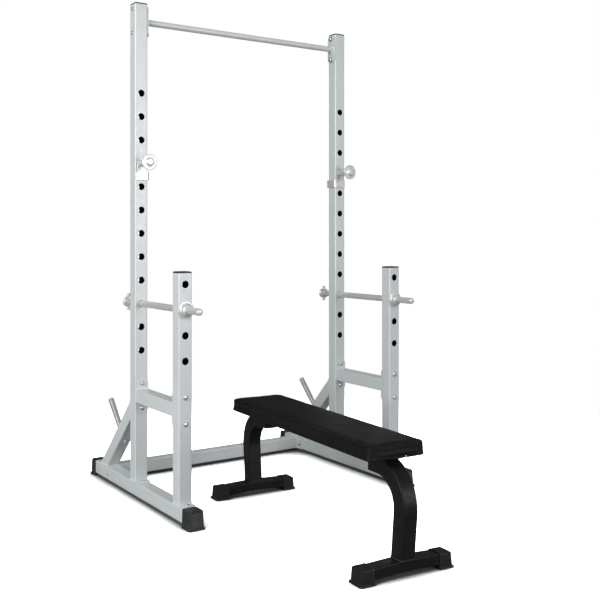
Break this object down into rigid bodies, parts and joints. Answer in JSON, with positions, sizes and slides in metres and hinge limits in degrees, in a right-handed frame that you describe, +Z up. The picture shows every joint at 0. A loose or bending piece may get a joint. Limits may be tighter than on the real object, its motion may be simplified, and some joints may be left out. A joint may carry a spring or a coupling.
{
  "type": "half rack with flat bench",
  "caption": "Half rack with tall and short uprights, bar catches, spotter rods, pull-up bar and storage pegs, with a free-standing flat bench for olympic bench pressing.",
  "frame": {"origin": "on the floor, under the middle of the whole footprint of rack and bench", "axes": "+X to the right seen from the front, +Y from the bench towards the rear of the rack, +Z up"},
  "size_m": [1.189, 1.9384, 2.227],
  "materials": {
    "rack_silver": "silver-grey powder coat, fine orange peel",
    "bench_black": "black powder coat, fine texture",
    "bright_chrome": "polished chrome",
    "zinc_steel": "zinc-plated steel",
    "cap_plastic": "moulded black plastic",
    "pad_vinyl": "black grained vinyl, soft sheen",
    "pad_board": "plywood"
  },
  "bodies": {
    "frame": {"left_base_rail": "rack_silver", "left_cross_beam_front_bolt": "zinc_steel", "left_cross_beam_rear_bolt": "zinc_steel", "left_front_foot_cap": "cap_plastic", "left_pull_up_lower_bolt": "zinc_steel", "left_pull_up_upper_bolt": "zinc_steel", "left_rear_brace": "rack_silver", "left_rear_foot_cap": "cap_plastic", "left_short_upright": "rack_silver", "left_short_upright_cap": "cap_plastic", "left_side_bar": "rack_silver", "left_side_bar_lower_front_bolt": "zinc_steel", "left_side_bar_lower_rear_bolt": "zinc_steel", "left_side_bar_upper_front_bolt": "zinc_steel", "left_side_bar_upper_rear_bolt": "zinc_steel", "left_storage_peg": "zinc_steel", "left_tall_upright": "rack_silver", "left_tall_upright_cap": "cap_plastic", "pull_up_bar": "rack_silver", "rear_cross_beam": "rack_silver", "right_base_rail": "rack_silver", "right_cross_beam_front_bolt": "zinc_steel", "right_cross_beam_rear_bolt": "zinc_steel", "right_front_foot_cap": "cap_plastic", "right_pull_up_lower_bolt": "zinc_steel", "right_pull_up_upper_bolt": "zinc_steel", "right_rear_brace": "rack_silver", "right_rear_foot_cap": "cap_plastic", "right_short_upright": "rack_silver", "right_short_upright_cap": "cap_plastic", "right_side_bar": "rack_silver", "right_side_bar_lower_front_bolt": "zinc_steel", "right_side_bar_lower_rear_bolt": "zinc_steel", "right_side_bar_upper_front_bolt": "zinc_steel", "right_side_bar_upper_rear_bolt": "zinc_steel", "right_storage_peg": "zinc_steel", "right_tall_upright": "rack_silver", "right_tall_upright_cap": "cap_plastic"},
    "left_bar_catch": {"left_bar_catch_rod": "bright_chrome", "left_bar_catch_disc": "bright_chrome"},
    "left_spotter": {"left_spotter_rod": "bright_chrome", "left_spotter_collar": "bright_chrome"},
    "left_retainer": {"left_rod_retainer": "bright_chrome"},
    "right_bar_catch": {"right_bar_catch_rod": "bright_chrome", "right_bar_catch_disc": "bright_chrome"},
    "right_spotter": {"right_spotter_rod": "bright_chrome", "right_spotter_collar": "bright_chrome"},
    "right_retainer": {"right_rod_retainer": "bright_chrome"},
    "bench": {"bench_front_foot_bar": "bench_black", "bench_front_left_foot_cap": "cap_plastic", "bench_front_leg": "bench_black", "bench_front_right_foot_cap": "cap_plastic", "bench_pad": "pad_vinyl", "bench_pad_board": "pad_board", "bench_rear_foot_bar": "bench_black", "bench_rear_left_foot_cap": "cap_plastic", "bench_rear_leg": "bench_black", "bench_rear_right_foot_cap": "cap_plastic", "bench_spine": "bench_black"}
  },
  "joints": [
    {"name": "left_catch_slide", "type": "slide", "parent": "frame", "child": "left_bar_catch", "axis": [0, -1, 0], "range_m": [0, 0.09]},
    {"name": "left_spotter_slide", "type": "slide", "parent": "frame", "child": "left_spotter", "axis": [0, -1, 0], "range_m": [0, 0.074]},
    {"name": "left_retainer_slide", "type": "slide", "parent": "left_spotter", "child": "left_retainer", "axis": [0, 1, 0], "range_m": [0, 0.05]},
    {"name": "right_catch_slide", "type": "slide", "parent": "frame", "child": "right_bar_catch", "axis": [0, -1, 0], "range_m": [0, 0.09]},
    {"name": "right_spotter_slide", "type": "slide", "parent": "frame", "child": "right_spotter", "axis": [0, -1, 0], "range_m": [0, 0.074]},
    {"name": "right_retainer_slide", "type": "slide", "parent": "right_spotter", "child": "right_retainer", "axis": [0, 1, 0], "range_m": [0, 0.05]},
    {"name": "bench_slide", "type": "slide", "parent": "frame", "child": "bench", "axis": [0.0698, 0.9976, 0], "range_m": [-0.2, 0.3]}
  ]
}
